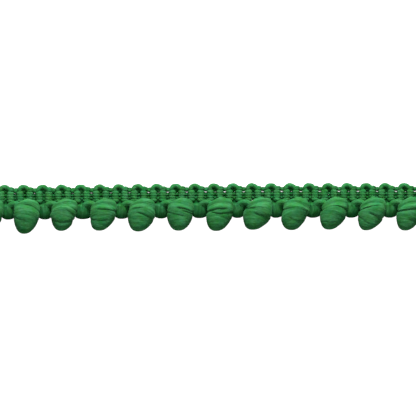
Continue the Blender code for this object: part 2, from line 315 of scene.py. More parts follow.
def make_yarn_material(name, greens, across, along, relief, shade, shaded_height):
    """A matt, slightly downy yarn whose fibres show in its colour and in its relief, with a
    painted shade that darkens its colour towards the table.
    """
    material = bpy.data.materials.new(name)
    material.use_nodes = True
    tree = material.node_tree
    shader = tree.nodes["Principled BSDF"]
    shader.inputs["Roughness"].default_value = YARN_ROUGHNESS
    shader.inputs["Specular IOR Level"].default_value = YARN_SPECULAR
    shader.inputs["Sheen Weight"].default_value = SHEEN
    shader.inputs["Sheen Roughness"].default_value = SHEEN_ROUGHNESS
    shader.inputs["Sheen Tint"].default_value = SHEEN_TINT
    fibre = add_node(tree, "ShaderNodeAttribute", attribute_name="fibre")
    place = add_node(tree, "ShaderNodeTexCoord")
    look = add_node(tree, "ShaderNodeGroup", node_tree=FIBRES_DYE_AND_PAINTED_SHADE)
    tree.links.new(fibre.outputs["Vector"], look.inputs["Fibre"])
    tree.links.new(place.outputs["Object"], look.inputs["Place"])
    for socket, green in zip(("Deep", "Middle", "Pale"), greens):
        look.inputs[socket].default_value = (*green, 1)
    numbers = {
        "Across each mm": across,
        "Along each mm": along,
        "Cloudiness": CLOUDINESS,
        "Shade at the table": shade,
        "Shaded height": shaded_height,
    }
    for socket, number in numbers.items():
        look.inputs[socket].default_value = number
    bump = add_node(tree, "ShaderNodeBump", {
        "Strength": relief, "Distance": RELIEF_DISTANCE, "Height": look.outputs["Relief"],
    })
    tree.links.new(look.outputs["Colour"], shader.inputs["Base Color"])
    tree.links.new(bump.outputs["Normal"], shader.inputs["Normal"])
    return material


CURVE_POINTS_EACH_STEP = 10
LUMP_SCALE = 1.9


def make_yarn_tree():
    """A yarn laid along a path: twisted plies, slightly uneven, with closed ends."""
    inputs = (
        ("Path", "NodeSocketGeometry"),
        ("Half thickness", "NodeSocketFloat"),
        ("Step", "NodeSocketFloat"),
        ("Sides", "NodeSocketInt"),
        ("Plies", "NodeSocketInt"),
        ("Ply depth", "NodeSocketFloat"),
        ("Twist each mm", "NodeSocketFloat"),
        ("Unevenness", "NodeSocketFloat"),
        ("Yarn", "NodeSocketMaterial"),
    )
    outputs = (("Yarn", "NodeSocketGeometry"),)
    tree, given, result = start_tree("yarn along a path", "GeometryNodeTree", inputs, outputs)
    smooth = add_node(tree, "GeometryNodeCurveSplineType", {
        "Curve": given.outputs["Path"],
    }, spline_type="CATMULL_ROM")
    finer = add_node(tree, "GeometryNodeSetSplineResolution", {
        "Geometry": smooth.outputs[0], "Resolution": CURVE_POINTS_EACH_STEP,
    })
    even = add_node(tree, "GeometryNodeResampleCurve", {
        "Curve": finer.outputs[0], "Length": given.outputs["Step"],
    }, mode="LENGTH")
    share = add_node(tree, "GeometryNodeInputRadius").outputs[0]
    sized = add_node(tree, "GeometryNodeSetCurveRadius", {
        "Curve": even.outputs[0],
        "Radius": calculate(tree, "MULTIPLY", share, given.outputs["Half thickness"]),
    })
    run = add_node(tree, "GeometryNodeSplineParameter").outputs["Length"]
    run_mm = calculate(tree, "DIVIDE", run, MM)
    twisted = add_node(tree, "GeometryNodeSetCurveTilt", {
        "Curve": sized.outputs[0],
        "Tilt": calculate(tree, "MULTIPLY", run_mm, given.outputs["Twist each mm"]),
    })
    measured = add_node(tree, "GeometryNodeStoreNamedAttribute", {
        "Geometry": twisted.outputs[0], "Name": "run_mm", "Value": run_mm,
    }, data_type="FLOAT", domain="POINT")

    circle = add_node(tree, "GeometryNodeCurvePrimitiveCircle", {
        "Resolution": given.outputs["Sides"], "Radius": 1.0,
    })
    spot = add_node(tree, "GeometryNodeInputPosition").outputs[0]
    parts = add_node(tree, "ShaderNodeSeparateXYZ", {0: spot})
    angle = calculate(tree, "ARCTAN2", parts.outputs["Y"], parts.outputs["X"])
    lobes = calculate(tree, "COSINE",
                      calculate(tree, "MULTIPLY", angle, given.outputs["Plies"]))
    swell = calculate(tree, "MULTIPLY_ADD", lobes, given.outputs["Ply depth"], 1.0)
    lobed = add_node(tree, "GeometryNodeSetPosition", {
        "Geometry": circle.outputs[0],
        "Position": add_node(tree, "ShaderNodeVectorMath", {
            0: spot, "Scale": swell,
        }, operation="SCALE").outputs[0],
    })
    outline = add_node(tree, "GeometryNodeStoreNamedAttribute", {
        "Geometry": lobed.outputs[0], "Name": "across_yarn", "Value": spot,
    }, data_type="FLOAT_VECTOR", domain="POINT")

    tube = add_node(tree, "GeometryNodeCurveToMesh", {
        "Curve": measured.outputs[0],
        "Profile Curve": outline.outputs[0],
        "Scale": add_node(tree, "GeometryNodeInputRadius").outputs[0],
        "Fill Caps": True,
    })
    across = add_node(tree, "GeometryNodeInputNamedAttribute", {
        "Name": "across_yarn",
    }, data_type="FLOAT_VECTOR").outputs[0]
    across_parts = add_node(tree, "ShaderNodeSeparateXYZ", {0: across})
    half_mm = calculate(tree, "DIVIDE", given.outputs["Half thickness"], MM)
    fibre = add_node(tree, "ShaderNodeCombineXYZ", {
        "X": calculate(tree, "MULTIPLY", across_parts.outputs["X"], half_mm),
        "Y": calculate(tree, "MULTIPLY", across_parts.outputs["Y"], half_mm),
        "Z": add_node(tree, "GeometryNodeInputNamedAttribute", {
            "Name": "run_mm",
        }, data_type="FLOAT").outputs[0],
    })
    marked = add_node(tree, "GeometryNodeStoreNamedAttribute", {
        "Geometry": tube.outputs[0], "Name": "fibre", "Value": fibre.outputs[0],
    }, data_type="FLOAT_VECTOR", domain="POINT")
    lumps = add_node(tree, "ShaderNodeTexNoise", {
        "Vector": fibre.outputs[0], "Scale": LUMP_SCALE, "Detail": 2.0, "Roughness": 0.6,
    })
    lump = calculate(tree, "MULTIPLY",
                     calculate(tree, "SUBTRACT", lumps.outputs["Fac"], 0.5),
                     given.outputs["Unevenness"])
    uneven = add_node(tree, "GeometryNodeSetPosition", {
        "Geometry": marked.outputs[0],
        "Offset": add_node(tree, "ShaderNodeVectorMath", {
            0: add_node(tree, "GeometryNodeInputNormal").outputs[0], "Scale": lump,
        }, operation="SCALE").outputs[0],
    })
    shaded = add_node(tree, "GeometryNodeSetShadeSmooth", {"Geometry": uneven.outputs[0]})
    plain = add_node(tree, "GeometryNodeRealizeInstances", {"Geometry": shaded.outputs[0]})
    dressed = add_node(tree, "GeometryNodeSetMaterial", {
        "Geometry": plain.outputs[0], "Material": given.outputs["Yarn"],
    })
    tree.links.new(dressed.outputs[0], result.inputs[0])
    return tree


# A loose end as shares of its length and of how far it stands off
ROOT_DEPTH = 0.3
BELLY_ALONG = 0.45
TIP_ASIDE = 0.25
TIP_LIFT = 1.1
TIP_THINNING = 0.7
LEAST_SIZE, GREATEST_SIZE = (0.5, 0.5, 0.4), (1.2, 1.2, 1.3)
END_TILT = 0.2
END_SIDES = 3
END_PARTS = 3
PRESSED_HEIGHT = 0.25 * MM


def make_down_tree():
    """Loose fibre ends that stand a little off a yarn, all of it pressed flat at the table."""
    inputs = (
        ("Surface", "NodeSocketGeometry"),
        ("Ends each square mm", "NodeSocketFloat"),
        ("Length", "NodeSocketFloat"),
        ("Half thickness", "NodeSocketFloat"),
        ("Stand off", "NodeSocketFloat"),
        ("Seed", "NodeSocketInt"),
        ("Yarn", "NodeSocketMaterial"),
    )
    outputs = (("Surface and fibres", "NodeSocketGeometry"),)
    tree, given, result = start_tree("loose fibre ends", "GeometryNodeTree", inputs, outputs)
    seed = given.outputs["Seed"]
    facing = add_node(tree, "ShaderNodeSeparateXYZ", {
        0: add_node(tree, "GeometryNodeInputNormal").outputs[0],
    })
    spread = add_node(tree, "GeometryNodeDistributePointsOnFaces", {
        "Mesh": given.outputs["Surface"],
        "Selection": calculate(tree, "GREATER_THAN", facing.outputs["Z"], 0.0),
        "Density": calculate(tree, "DIVIDE", given.outputs["Ends each square mm"], MM * MM),
        "Seed": seed,
    })
    length, off = given.outputs["Length"], given.outputs["Stand off"]
    root = add_node(tree, "ShaderNodeCombineXYZ", {
        "Z": calculate(tree, "MULTIPLY", off, -ROOT_DEPTH),
    })
    belly = add_node(tree, "ShaderNodeCombineXYZ", {
        "X": calculate(tree, "MULTIPLY", length, BELLY_ALONG), "Z": off,
    })
    tip = add_node(tree, "ShaderNodeCombineXYZ", {
        "X": length,
        "Y": calculate(tree, "MULTIPLY", length, TIP_ASIDE),
        "Z": calculate(tree, "MULTIPLY", off, TIP_LIFT),
    })
    bend = add_node(tree, "GeometryNodeCurveQuadraticBezier", {
        "Resolution": END_PARTS,
        "Start": root.outputs[0],
        "Middle": belly.outputs[0],
        "End": tip.outputs[0],
    })
    along = add_node(tree, "GeometryNodeSplineParameter").outputs["Factor"]
    taper = calculate(tree, "MULTIPLY_ADD", along, -TIP_THINNING, 1.0)
    fibre = add_node(tree, "GeometryNodeCurveToMesh", {
        "Curve": bend.outputs[0],
        "Profile Curve": add_node(tree, "GeometryNodeCurvePrimitiveCircle", {
            "Resolution": END_SIDES, "Radius": given.outputs["Half thickness"],
        }).outputs[0],
        "Scale": taper,
        "Fill Caps": True,
    })
    placed = add_node(tree, "GeometryNodeInstanceOnPoints", {
        "Points": spread.outputs["Points"],
        "Instance": fibre.outputs[0],
        "Rotation": spread.outputs["Rotation"],
        "Scale": add_node(tree, "FunctionNodeRandomValue", {
            "Min": LEAST_SIZE, "Max": GREATEST_SIZE, "Seed": seed,
        }, data_type="FLOAT_VECTOR").outputs[0],
    })
    way = add_node(tree, "FunctionNodeRandomValue", {
        "Min": (-END_TILT, -END_TILT, 0.0),
        "Max": (END_TILT, END_TILT, math.tau),
        "Seed": seed,
    }, data_type="FLOAT_VECTOR")
    turned = add_node(tree, "GeometryNodeRotateInstances", {
        "Instances": placed.outputs[0], "Rotation": way.outputs[0],
    })
    joined = add_node(tree, "GeometryNodeJoinGeometry")
    tree.links.new(given.outputs["Surface"], joined.inputs[0])
    tree.links.new(turned.outputs[0], joined.inputs[0])
    plain = add_node(tree, "GeometryNodeRealizeInstances", {"Geometry": joined.outputs[0]})
    spot = add_node(tree, "GeometryNodeInputPosition").outputs[0]
    parts = add_node(tree, "ShaderNodeSeparateXYZ", {0: spot})
    raised = calculate(tree, "SMOOTH_MAX", parts.outputs["Z"], 0.0, PRESSED_HEIGHT)
    pressed = add_node(tree, "GeometryNodeSetPosition", {
        "Geometry": plain.outputs[0],
        "Position": add_node(tree, "ShaderNodeCombineXYZ", {
            "X": parts.outputs["X"], "Y": parts.outputs["Y"], "Z": raised,
        }).outputs[0],
    })
    dressed = add_node(tree, "GeometryNodeSetMaterial", {
        "Geometry": pressed.outputs[0], "Material": given.outputs["Yarn"],
    })
    tree.links.new(dressed.outputs[0], result.inputs[0])
    return tree


YARN_ALONG_A_PATH = make_yarn_tree()
LOOSE_FIBRE_ENDS = make_down_tree()


def put_through(piece, tree, values):
    """The plain mesh object that a node tree makes of a piece, in the piece's place."""
    modifier = piece.modifiers.new(tree.name, "NODES")
    modifier.node_group = tree
    for socket in tree.interface.items_tree:
        if socket.in_out == "INPUT" and socket.name in values:
            modifier[socket.identifier] = values[socket.name]
    bpy.context.view_layer.update()
    evaluated = piece.evaluated_get(bpy.context.evaluated_depsgraph_get())
    name = piece.name
    mesh = bpy.data.meshes.new_from_object(evaluated)
    piece.modifiers.remove(modifier)
    bpy.data.objects.remove(piece)
    mesh.name = name
    made = bpy.data.objects.new(name, mesh)
    bpy.context.scene.collection.objects.link(made)
    return made


def lay_yarn(name, path, half_thickness, material, step, sides, plies, depth, twist, uneven):
    """A yarn along the path's points, each (x, y, z, share of the half thickness)."""
    curve = bpy.data.curves.new(name, "CURVE")
    curve.dimensions = "3D"
    spline = curve.splines.new("POLY")
    spline.points.add(len(path) - 1)
    for point, (x, y, z, thick) in zip(spline.points, path):
        point.co = (x, y, z, 1)
        point.radius = thick
    piece = bpy.data.objects.new(name, curve)
    bpy.context.scene.collection.objects.link(piece)
    return put_through(piece, YARN_ALONG_A_PATH, {
        "Half thickness": half_thickness,
        "Step": step,
        "Sides": sides,
        "Plies": plies,
        "Ply depth": depth,
        "Twist each mm": twist,
        "Unevenness": uneven,
        "Yarn": material,
    })


def add_down(piece, material, ends, length, half_thickness, stand_off, seed):
    """The piece with loose fibre ends all over it."""
    return put_through(piece, LOOSE_FIBRE_ENDS, {
        "Ends each square mm": ends,
        "Length": length,
        "Half thickness": half_thickness,
        "Stand off": stand_off,
        "Seed": seed,
        "Yarn": material,
    })


def finish_piece(piece, slot, *nodes):
    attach(piece, "root")
    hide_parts(*nodes)


# Its colour has a painted shade, darkest at the table and gone by the shaded height
heading_yarn = make_yarn_material("soft_twisted_yarn", WEFT_GREENS, across=7.0, along=0.7,
                                  relief=0.7, shade=0.16, shaded_height=1.35 * MM)
weft_path = []
for loop in LOOPS:
    for point in WEFT_REPEAT:
        x = loop * LOOP_PITCH + point.along * MM
        y = point.height * MM + sway(x)
        weft_path.append((x, y, point.lift * MM, point.thick))
weft = lay_yarn("weft_yarn", weft_path, WEFT_RADIUS, heading_yarn,
                step=0.15 * MM, sides=16, plies=3, depth=0.05, twist=1.7, uneven=0.10 * MM)
weft = add_down(weft, heading_yarn, ends=1.6, length=0.75 * MM,
                half_thickness=0.014 * MM, stand_off=0.13 * MM, seed=11)
finish_piece(weft, "heading_yarn", "heading")


# Chain stitches of the heading
# Three rows of crochet chain in a finer yarn lock the weft. Each stitch wraps one leg of
# the weft with two strands in front, and is drawn through the stitch before it. The edge
# row catches only the right leg of each picot loop and floats behind the left one.

STITCH_YARN_RADIUS = 0.40 * MM
EDGE_YARN_RADIUS = 0.35 * MM
FULLER_AT_LEFT = 0.22
FULLER_WITHIN = 40 * MM
LEG_PITCH = LOOP_PITCH / 2
LEG_COUNT = 54
LEGS_MIDDLE_X = 0.365 * MM
FIRST_LEG_X = LEGS_MIDDLE_X - (LEG_COUNT - 1) / 2 * LEG_PITCH

# One stitch in millimetres: along from the leg's middle, how far it swings to the lower
# strand (-1) or the upper one (1), lift above the table, and share of thickness
StitchPoint = namedtuple("StitchPoint", "along swing lift thick")
STITCH = (
    StitchPoint(-0.93, -0.40, 0.26, 1.14),
    StitchPoint(-0.57, -0.88, 0.54, 1.00),
    StitchPoint(-0.34, -1.00, 0.90, 1.62),
    StitchPoint(0.00, -1.03, 1.02, 1.88),
    StitchPoint(0.34, -1.00, 0.90, 1.62),
    StitchPoint(0.57, -0.86, 0.54, 1.00),
    StitchPoint(0.90, -0.42, 0.26, 1.14),
    StitchPoint(1.16, -0.24, 0.24, 1.40),
    StitchPoint(1.16, 0.24, 0.26, 1.48),
    StitchPoint(0.90, 0.44, 0.26, 1.14),
    StitchPoint(0.57, 0.88, 0.54, 1.00),
    StitchPoint(0.34, 1.00, 0.90, 1.56),
    StitchPoint(0.00, 1.03, 1.02, 1.80),
    StitchPoint(-0.34, 1.00, 0.90, 1.56),
    StitchPoint(-0.57, 0.86, 0.54, 1.00),
    StitchPoint(-0.93, 0.36, 0.26, 0.98),
    StitchPoint(-1.00, 0.02, 0.10, 0.70),
    StitchPoint(-0.30, 0.00, 0.10, 0.62),
    StitchPoint(0.60, 0.00, 0.10, 0.62),
)

# Each row: heights across the trim of its links under a picot loop and between two of
# them, and of its lower and upper strands
Row = namedtuple("Row", "name under_loop between lower upper")
CHAIN_ROWS = (
    Row("chain_middle", 3.26, 3.16, 3.31, 3.90),
    Row("chain_low", 2.42, 2.50, 1.98, 2.68),
)

# One stitch of the edge row and its float, along from the picot loop's middle. The last
# float is left off.
EDGE_REPEAT = (
    PathPoint(1.10, 4.54, 0.60, 0.90),
    PathPoint(1.30, 4.62, 1.00, 1.00),
    PathPoint(1.75, 4.68, 1.22, 1.14),
    PathPoint(2.10, 4.72, 1.00, 0.98),
    PathPoint(2.32, 4.80, 0.62, 0.80),
    PathPoint(2.40, 4.90, 0.44, 0.72),
    PathPoint(2.32, 4.98, 0.64, 0.80),
    PathPoint(2.10, 5.04, 1.00, 0.96),
    PathPoint(1.75, 5.06, 1.22, 1.14),
    PathPoint(1.32, 5.04, 1.00, 0.98),
    PathPoint(1.10, 4.90, 0.62, 0.80),
    PathPoint(1.20, 4.68, 0.34, 0.85),
    PathPoint(1.80, 4.56, 0.30, 1.00),
    PathPoint(2.35, 4.56, 0.40, 1.30),
    PathPoint(2.85, 4.57, 0.44, 1.67),
    PathPoint(3.55, 4.62, 0.38, 1.36),
    PathPoint(4.73, 4.54, 0.26, 1.60),
    PathPoint(5.35, 4.48, 0.30, 1.56),
)
FLOAT_POINTS = 4


def mix(low, high, share):
    return low + (high - low) * share


for seed, row in enumerate(CHAIN_ROWS):
    path = []
    for leg in range(LEG_COUNT):
        for point in STITCH:
            x = FIRST_LEG_X + leg * LEG_PITCH + point.along * MM
            gap = leg if point.along > 0 else leg - 1
            link = row.between if gap % 2 else row.under_loop
            strand = row.upper if point.swing > 0 else row.lower
            y = mix(link, strand, abs(point.swing)) * MM + sway(x)
            path.append((x, y, point.lift * MM, point.thick))
    chain = lay_yarn(row.name, path, STITCH_YARN_RADIUS, heading_yarn,
                     step=0.13 * MM, sides=10, plies=2, depth=0.035, twist=2.4,
                     uneven=0.07 * MM)
    chain = add_down(chain, heading_yarn, ends=1.4, length=0.6 * MM,
                     half_thickness=0.013 * MM, stand_off=0.11 * MM, seed=21 + seed)
    finish_piece(chain, "heading_yarn", "heading")

edge_path = []
for loop in LOOPS:
    for point in EDGE_REPEAT:
        x = loop * LOOP_PITCH + point.along * MM
        thick = point.thick * (1 + FULLER_AT_LEFT * min(max(-x / FULLER_WITHIN, 0), 1))
        edge_path.append((x, point.height * MM + sway(x), point.lift * MM, thick))
edge = lay_yarn("chain_edge", edge_path[:-FLOAT_POINTS], EDGE_YARN_RADIUS, heading_yarn,
                step=0.13 * MM, sides=10, plies=2, depth=0.07, twist=2.4, uneven=0.06 * MM)
edge = add_down(edge, heading_yarn, ends=1.4, length=0.6 * MM,
                half_thickness=0.013 * MM, stand_off=0.11 * MM, seed=25)
finish_piece(edge, "heading_yarn", "heading")


# Pompoms
# Each is a small ball wound up from a fat, soft, untwisted roving, whose wraps lie over
# each other in arcs with creases between them. Its root is caught under the heading's
# lowest chain, and it lies on the table on a small flat spot.

POM_COUNT = 13
POM_PITCH = 2 * LOOP_PITCH
POM_ROOT = 2.62 * MM
POM_TIP = -5.85 * MM
BALL_LINE = 0.36
THICKEST = 0.56
WIDEST = 0.75
BALL_ROUNDNESS = 0.42
ROOT_SQUARENESS = 2.6
ROOT_HALF_WIDTH = 3.30 * MM
ROOT_HALF_THICKNESS = 1.75 * MM
ROOT_HALF_THICKNESS_BEHIND = 2.75 * MM
ROOT_BLUNTNESS_BEHIND = 0.4
ROOT_TILT = 0.16
BALL_HALF_THICKNESS = 2.90 * MM
POM_MIDDLE_Z = 2.84 * MM
WINDING_RISE = 0.45
WINDING_BOW = 0.45 * MM
POM_RINGS = 118
POM_SEGMENTS = 64
ROVING_GREENS = ((0.006, 0.073, 0.016), (0.020, 0.150, 0.042), (0.052, 0.245, 0.088))

# Each pompom in millimetres: how far its ball sits along from its picot loop, how much
# lower than POM_TIP it hangs, the width of its ball, and how far its tip and its root lie
# to either side. Then the slopes of its winding at two shares of the height.
Pom = namedtuple("Pom", "along drop width tip_left root_right lower slope_low upper slope_up")
POMS = (
    Pom(0.90, -0.10, 6.28, 0.55, 0.55, 0.42, -0.15, 0.66, 0.15),
    Pom(0.62, 0.49, 6.04, 0.36, 0.38, 0.34, -0.10, 0.72, -0.20),
    Pom(0.13, -0.19, 5.99, 0.13, 0.72, 0.33, -0.22, 0.68, 0.10),
    Pom(0.86, -0.17, 6.34, 0.89, 0.28, 0.42, 0.05, 0.62, -0.10),
    Pom(0.81, 0.13, 6.57, 0.63, 0.44, 0.49, -0.15, 0.70, -0.05),
    Pom(0.97, 0.01, 6.36, 0.23, 0.40, 0.54, -0.15, 0.69, -0.24),
    Pom(1.30, 0.16, 6.55, 0.66, 0.30, 0.49, 0.00, 0.63, 0.10),
    Pom(1.04, -0.10, 6.75, 0.84, 0.85, 0.48, -0.25, 0.70, 0.22),
    Pom(0.97, 0.00, 6.53, 0.56, 0.72, 0.46, 0.10, 0.72, -0.25),
    Pom(0.97, -0.11, 6.30, 0.74, 0.70, 0.44, -0.18, 0.68, 0.22),
    Pom(0.86, 0.08, 6.28, 0.84, 0.82, 0.42, -0.25, 0.66, 0.14),
    Pom(0.85, 0.13, 6.08, 0.64, 0.74, 0.45, -0.22, 0.67, 0.20),
    Pom(0.95, 0.02, 6.28, 0.50, 0.60, 0.48, 0.08, 0.68, -0.12),
)

# Creases between the wraps: the pompom's number, the crease's height across the trim at
# the left flank, in the middle and at the right flank, and its depth, in millimetres.
# Then where it begins and ends, from the left flank, -1, to the right flank, 1.
Crease = namedtuple("Crease", "pom left middle right deep begins ends")
CREASES = (
    Crease(0, -0.78, 0.11, -0.02, 0.26, -1.3, 0.7),
    Crease(0, -0.27, -1.29, -2.05, 0.22, -0.3, 1.3),
    Crease(1, -0.56, 0.96, -0.81, 0.24, -0.9, 1.3),
    Crease(1, -2.08, -3.10, -3.61, 0.10, -1.3, 0.6),
    Crease(2, -2.51, -3.40, -2.90, 0.26, -1.3, 1.3),
    Crease(2, 2.18, 1.30, -0.61, 0.16, -0.1, 1.3),
    Crease(2, 1.17, 0.15, -1.88, 0.14, 0.1, 1.3),
    Crease(3, -0.30, -0.30, -0.69, 0.22, -0.6, 1.3),
    Crease(3, 2.87, 1.85, -0.94, 0.24, 0.2, 1.3),
    Crease(3, -2.72, -3.10, -2.72, 0.12, -1.3, 0.8),
    Crease(4, -0.27, 0.12, 0.37, 0.22, -0.9, 0.8),
    Crease(4, -1.03, -1.41, -2.81, 0.24, -0.4, 1.3),
    Crease(4, 3.04, 2.02, -0.52, 0.16, 0.3, 1.3),
    Crease(5, -0.36, -0.10, -1.12, 0.30, -0.4, 1.3),
    Crease(5, -0.86, -0.74, -1.63, 0.22, 0.0, 1.3),
    Crease(5, -1.12, -1.88, -2.39, 0.14, -1.3, 0.6),
    Crease(6, -1.19, -0.38, -0.68, 0.32, -1.3, 0.7),
    Crease(6, -0.81, -1.57, -1.19, 0.26, -0.8, 1.3),
    Crease(6, -1.95, -2.21, -3.22, 0.10, -0.5, 1.3),
    Crease(7, 0.29, -1.61, -2.38, 0.30, -0.3, 1.3),
    Crease(7, -0.47, -0.09, 0.04, 0.26, -1.3, 0.0),
    Crease(8, 4.33, 2.81, -1.77, 0.26, 0.4, 1.3),
    Crease(8, -0.75, -0.11, -0.11, 0.18, -1.3, -0.1),
    Crease(8, -2.27, -3.04, -4.31, 0.10, -0.6, 1.3),
    Crease(9, -1.02, 0.38, -0.76, 0.26, -1.3, 1.3),
    Crease(9, -3.30, -3.94, -3.56, 0.10, -0.8, 0.8),
    Crease(10, -1.02, 0.25, 0.25, 0.34, -1.3, 0.8),
    Crease(10, -0.26, -1.53, -2.80, 0.30, -0.2, 1.3),
    Crease(10, -2.29, -4.07, -4.83, 0.10, -1.3, 0.4),
    Crease(11, -1.16, -0.65, -0.39, 0.36, -1.3, 1.3),
    Crease(11, -2.30, -3.06, -3.82, 0.14, 0.0, 1.3),
    Crease(12, -0.52, -0.27, -1.03, 0.28, -0.6, 1.3),
    Crease(12, -1.54, -2.05, -3.06, 0.20, -0.2, 1.3),
)
CREASE_SCALE = 1.14
CREASE_FADING = 0.35
CREASE_ABOVE = 0.14 * MM
CREASE_BELOW = 0.45 * MM
SUNK_BELOW = 2.60 * MM
SUNK_SHARE = 0.50
FLAT_SPOT = 0.25
LOCK_WIDTH = 0.42 * MM
LOCK_RELIEF = 0.048 * MM
FIBRE_WIDTH = 0.17 * MM
FIBRE_RELIEF = 0.026 * MM
LOCK_BEND = 1.5
FULL_RELIEF_FROM = 0.8 * MM
LEAST_RADIUS = 0.2 * MM

# Where the rings lie from tip to root, how far the pattern of fibres jumps from one wrap
# and from one pompom to the next, and how it spreads across and into the roving
FIRST_RING = 0.0004
RING_SPAN = 0.9994
EVENLY_SPACED = 0.4
WRAP_JUMP = 31 * MM
POM_JUMP = 97 * MM
FIBRE_ACROSS = 0.25
FIBRE_DEEP = 3


def ease(share):
    """0 up to 0, 1 from 1 on, and a smooth rise between."""
    share = min(max(share, 0), 1)
    return share * share * (3 - 2 * share)


def pom_x(index):
    return (index - (POM_COUNT - 1) / 2) * POM_PITCH + POMS[index].along * MM


def pom_span(index):
    """Heights of a pompom's tip and root."""
    rise = sway(pom_x(index))
    return POM_TIP - POMS[index].drop * MM + rise, POM_ROOT + rise


def off_ball_line(share):
    """How far a share lies from the ball's widest line, 0, to the root's, 1."""
    return (share - BALL_LINE) / (WIDEST - BALL_LINE)


def winding_slope(index, share):
    """How the wraps slope up to the right, at a share of the height."""
    pom = POMS[index]
    places = (0, pom.lower, pom.upper, 1)
    slopes = (0, pom.slope_low, pom.slope_up, ROOT_TILT)
    for i in range(3):
        if share <= places[i + 1]:
            part = (share - places[i]) / (places[i + 1] - places[i])
            return mix(slopes[i], slopes[i + 1], part)
    return ROOT_TILT


def winding_rise(share):
    """How the wraps rise in front: not at all at the tip and the root."""
    return WINDING_RISE * ease(share / BALL_LINE) * ease((1 - share) / (1 - WIDEST))


def pom_section(index, share):
    """Middle x, half width and half thickness at a share of the way from tip to root."""
    pom = POMS[index]
    ball = (1 - (1 - min(share / WIDEST, 1)) ** 2) ** BALL_ROUNDNESS
    past = max((share - WIDEST) / (1 - WIDEST), 0)
    root = max(1 - past ** ROOT_SQUARENESS, 0) ** (1 / ROOT_SQUARENESS)
    at_ball_line = (1 - (1 - BALL_LINE / WIDEST) ** 2) ** BALL_ROUNDNESS
    lower_half = pom.width * MM / 2 / at_ball_line
    half_width = mix(lower_half, ROOT_HALF_WIDTH, ease(off_ball_line(share))) * ball * root
    thick = (1 - (1 - min(share / THICKEST, 1)) ** 2) ** BALL_ROUNDNESS
    thinning = ease((share - THICKEST) / (WIDEST - THICKEST))
    half_thickness = mix(BALL_HALF_THICKNESS, ROOT_HALF_THICKNESS, thinning) * thick * root
    if share < BALL_LINE:
        lean = pom.tip_left * (share / BALL_LINE - 1)
    else:
        lean = pom.root_right * math.sin(math.pi / 2 * min(off_ball_line(share), 1))
    return pom_x(index) + lean * MM, half_width, half_thickness


def crease_depth(creases, flank, y):
    """How deep the surface is drawn in by the creases near a place, and its wrap's number."""
    depth, wrap = 0, 0
    for crease in creases:
        line = crease.middle + (crease.right - crease.left) / 2 * flank
        line += ((crease.right + crease.left) / 2 - crease.middle) * flank * flank
        off = y - line * MM
        strength = (ease((flank - crease.begins) / CREASE_FADING)
                    * ease((crease.ends - flank) / CREASE_FADING))
        if off > 0:
            reach = math.exp(-off / CREASE_ABOVE)
        else:
            reach = mix(math.exp(off / CREASE_BELOW), math.exp(off / SUNK_BELOW), SUNK_SHARE)
        depth += CREASE_SCALE * crease.deep * MM * strength * reach
        wrap += 1 if off > 0 else 0
    return depth, wrap


def wound_surface(index):
    """Rings of points over a pompom, and at each the place of the fibre that runs there."""
    tip, root = pom_span(index)
    height, rest = root - tip, sway(pom_x(index))
    creases = [crease for crease in CREASES if crease.pom == index]
    points, fibres = [], []
    for i in range(POM_RINGS):
        evenly = EVENLY_SPACED * i / (POM_RINGS - 1)
        closer_at_ends = (1 - EVENLY_SPACED) * (1 - math.cos(math.pi * i / (POM_RINGS - 1))) / 2
        share = FIRST_RING + RING_SPAN * (evenly + closer_at_ends)
        x, half_width, half_thickness = pom_section(index, share)
        slope, rise = winding_slope(index, share), winding_rise(share)
        squarer = min(half_thickness / ROOT_HALF_THICKNESS, 1) ** ROOT_BLUNTNESS_BEHIND
        behind = mix(half_thickness, ROOT_HALF_THICKNESS_BEHIND * squarer,
                     ease((share - THICKEST) / (WIDEST - THICKEST)))
        for k in range(POM_SEGMENTS):
            angle = math.tau * k / POM_SEGMENTS
            across, up = half_width * math.cos(angle), half_thickness * math.sin(angle)
            y = tip + share * height + slope * across + rise * up
            up = up if up > 0 else behind * math.sin(angle)
            radius = math.hypot(across, up)
            y -= WINDING_BOW * ease((share - BALL_LINE) / BALL_LINE) * math.cos(angle) ** 2
            depth, wrap = crease_depth(creases, math.cos(angle), y - rest)
            depth *= ease((1 + math.sin(angle)) / FLAT_SPOT)
            run = share * height + WRAP_JUMP * wrap + POM_JUMP * index
            bend = LOCK_BEND * math.cos(angle), LOCK_BEND * math.sin(angle)
            lock = noise.noise((run / LOCK_WIDTH, *bend))
            thread = noise.noise((run / FIBRE_WIDTH, 2 * bend[0], 2 * bend[1]))
            relief = LOCK_RELIEF * lock + FIBRE_RELIEF * thread - depth
            grown = 1 + relief * ease(radius / FULL_RELIEF_FROM) / max(radius, LEAST_RADIUS)
            points.append((x + across * grown, y, max(POM_MIDDLE_Z + up * grown, 0)))
            fibres.append((run / MM, FIBRE_ACROSS * math.cos(angle),
                           FIBRE_DEEP * math.sin(angle)))
    return points, fibres


def make_skin(name, points, segments, fibres, material):
    """A closed skin over rings of points, which carries the place of its fibres."""
    rings = len(points) // segments
    faces = [tuple(reversed(range(segments)))]
    for i in range(rings - 1):
        for k in range(segments):
            j = (k + 1) % segments
            a, b = i * segments, (i + 1) * segments
            faces.append((a + k, a + j, b + j, b + k))
    faces.append(tuple(range((rings - 1) * segments, rings * segments)))
    mesh = bpy.data.meshes.new(name)
    mesh.from_pydata(points, [], faces)
    attribute = mesh.attributes.new("fibre", "FLOAT_VECTOR", "POINT")
    attribute.data.foreach_set("vector", [value for fibre in fibres for value in fibre])
    mesh.materials.append(material)
    mesh.shade_smooth()
    piece = bpy.data.objects.new(name, mesh)
    bpy.context.scene.collection.objects.link(piece)
    return piece


